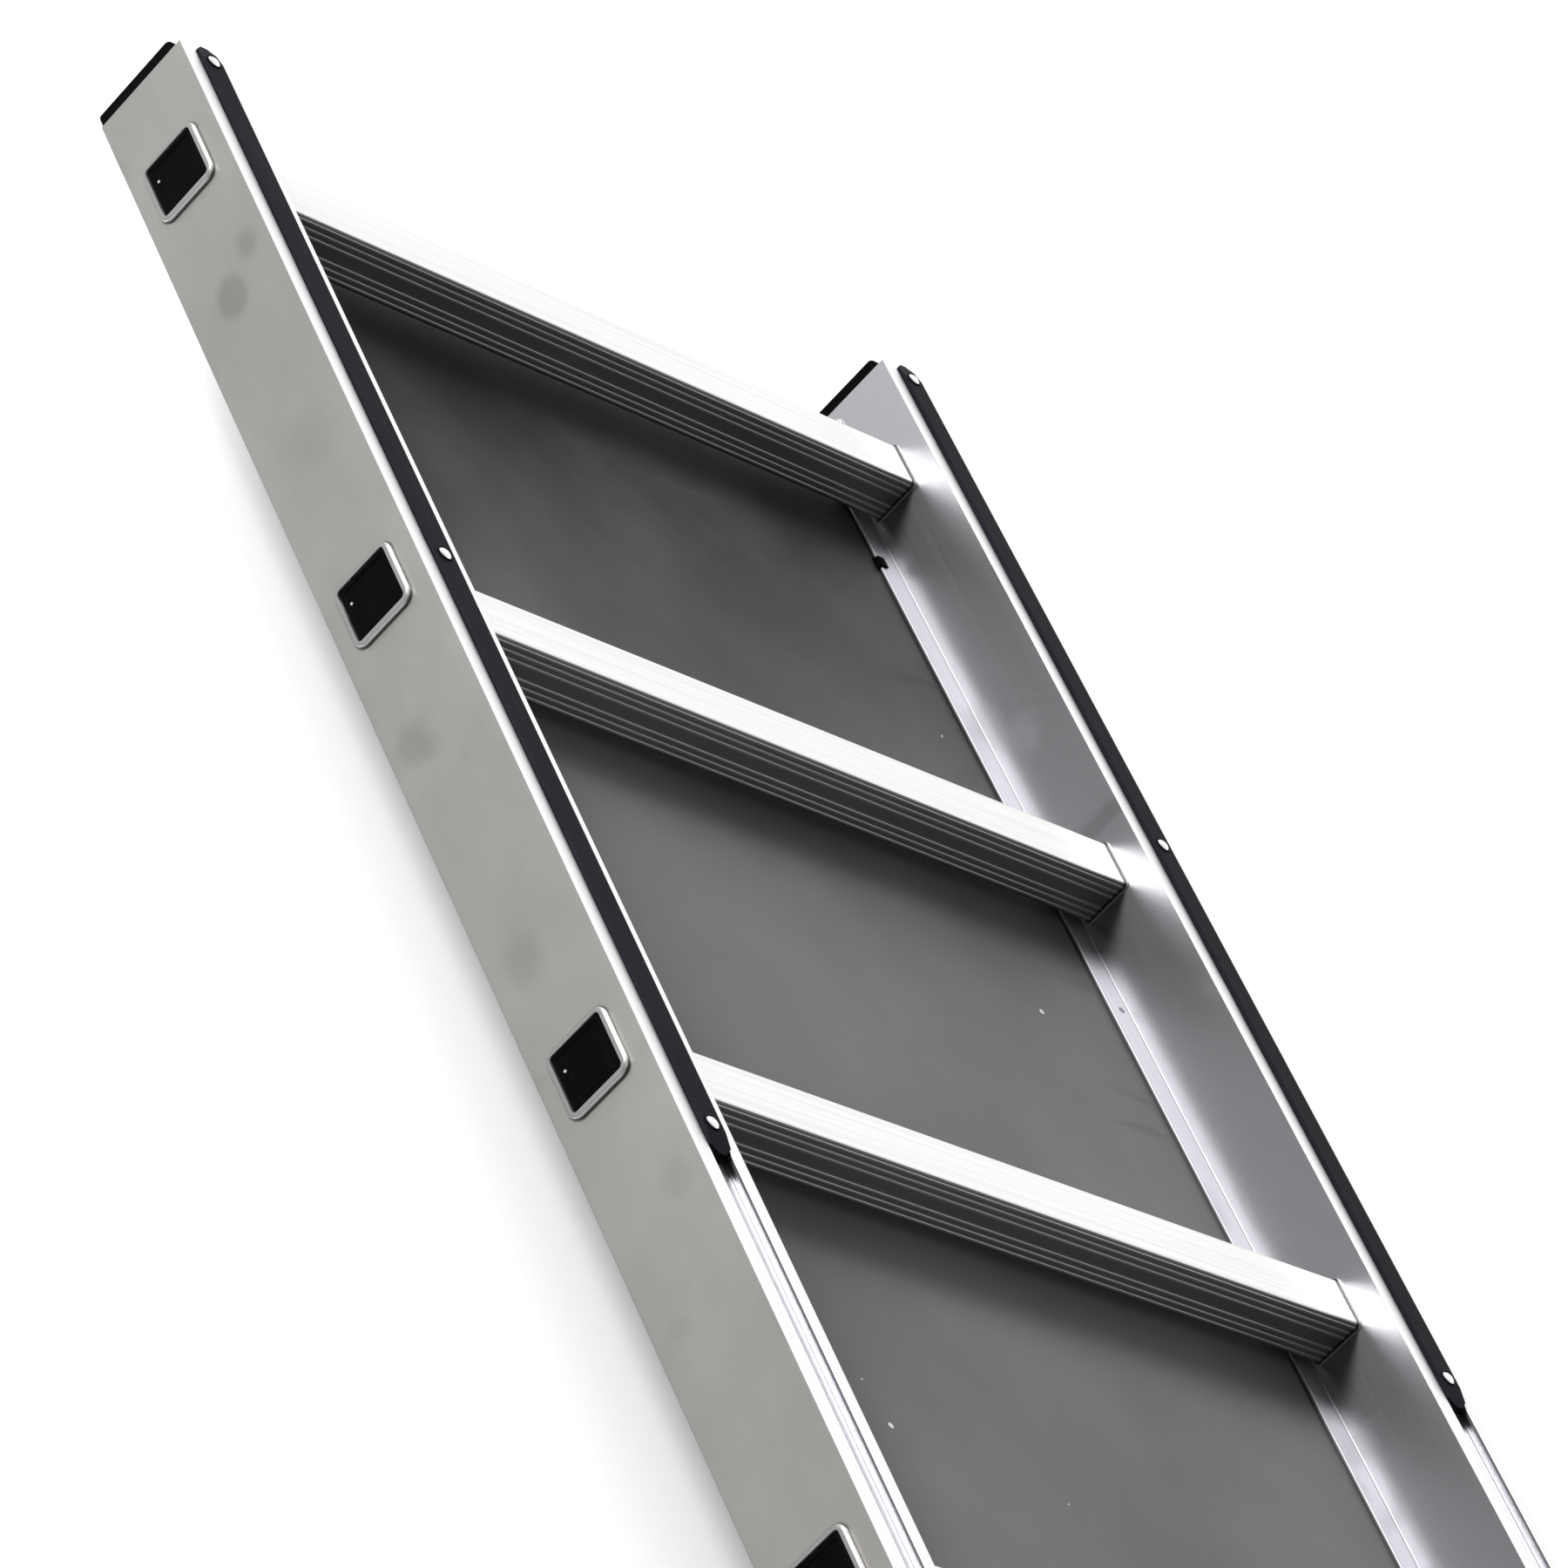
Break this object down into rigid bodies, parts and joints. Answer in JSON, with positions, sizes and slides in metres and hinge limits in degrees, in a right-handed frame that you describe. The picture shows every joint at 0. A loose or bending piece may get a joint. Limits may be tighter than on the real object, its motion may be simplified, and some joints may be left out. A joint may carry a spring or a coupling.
{
  "type": "extension ladder",
  "caption": "Two-section aluminium extension ladder with square rungs, a sliding upper section, sprung rung locks, guide brackets and a slide-out backing board.",
  "frame": {"origin": "centre of the ladder's outline on the surface it lies on, with the fly drawn out by four rungs", "axes": "+X across the rungs towards the right stile, +Y up the ladder towards its head, +Z out of the climbing side"},
  "size_m": [0.524, 2.977, 0.1305],
  "materials": {
    "stile": "satin, extruded",
    "rung": "satin, extruded",
    "cap": "moulded",
    "strip": "extruded",
    "strip_rivet": "bright",
    "rivet": "plain",
    "foot": "moulded",
    "bracket": "zinc plated",
    "hook": "cast, tumbled",
    "steel": "zinc plated",
    "nylon": "moulded",
    "board": "smooth, faint gloss"
  },
  "bodies": {
    "base_section": {"base_stile_left": "stile", "base_top_cap_left": "cap", "base_foot_left": "foot", "guide_bracket_left": "bracket", "guide_pad_left": "nylon", "base_stile_right": "stile", "base_top_cap_right": "cap", "base_foot_right": "foot", "guide_bracket_right": "bracket", "guide_pad_right": "nylon", "base_rung_1": "rung", "base_rung_2": "rung", "base_rung_3": "rung", "base_rung_4": "rung", "base_rung_5": "rung", "base_rung_6": "rung", "base_rung_7": "rung", "base_rung_plugs": "cap", "base_cap_screws": "steel", "guide_rivets": "rivet"},
    "fly_section": {"fly_stile_left": "stile", "fly_top_cap_left": "cap", "fly_bottom_cap_left": "cap", "wear_strip_left": "strip", "slide_shoe_left": "nylon", "lock_bracket_left": "bracket", "lock_pivot_left": "steel", "lock_spring_left": "steel", "fly_stile_right": "stile", "fly_top_cap_right": "cap", "fly_bottom_cap_right": "cap", "wear_strip_right": "strip", "slide_shoe_right": "nylon", "lock_bracket_right": "bracket", "lock_pivot_right": "steel", "lock_spring_right": "steel", "fly_rung_1": "rung", "fly_rung_2": "rung", "fly_rung_3": "rung", "fly_rung_4": "rung", "fly_rung_5": "rung", "fly_rung_6": "rung", "fly_rung_7": "rung", "fly_rung_plugs": "cap", "fly_cap_screws": "steel", "strip_rivets": "strip_rivet", "lock_stop_pins": "steel", "lock_rivets": "rivet", "board_clips": "cap"},
    "left_lock": {"lock_hook_left": "hook"},
    "right_lock": {"lock_hook_right": "hook"},
    "board": {"backing_board": "board"}
  },
  "joints": [
    {"name": "fly_slide", "type": "slide", "parent": "base_section", "child": "fly_section", "axis": [0, 1, 0], "range_m": [-1.12, 0]},
    {"name": "left_lock_pivot", "type": "hinge", "parent": "fly_section", "child": "left_lock", "pos_m": [-0.2075, -0.22245, 0.088], "axis": [1, 0, 0], "range_deg": [0, 105], "stiffness_Nm_per_rad": 0.12, "springref_deg": -34.38},
    {"name": "right_lock_pivot", "type": "hinge", "parent": "fly_section", "child": "right_lock", "pos_m": [0.2075, -0.22245, 0.088], "axis": [1, 0, 0], "range_deg": [0, 105], "stiffness_Nm_per_rad": 0.12, "springref_deg": -34.38},
    {"name": "board_slide", "type": "slide", "parent": "fly_section", "child": "board", "axis": [0, 1, 0], "range_m": [0, 1.1]}
  ]
}
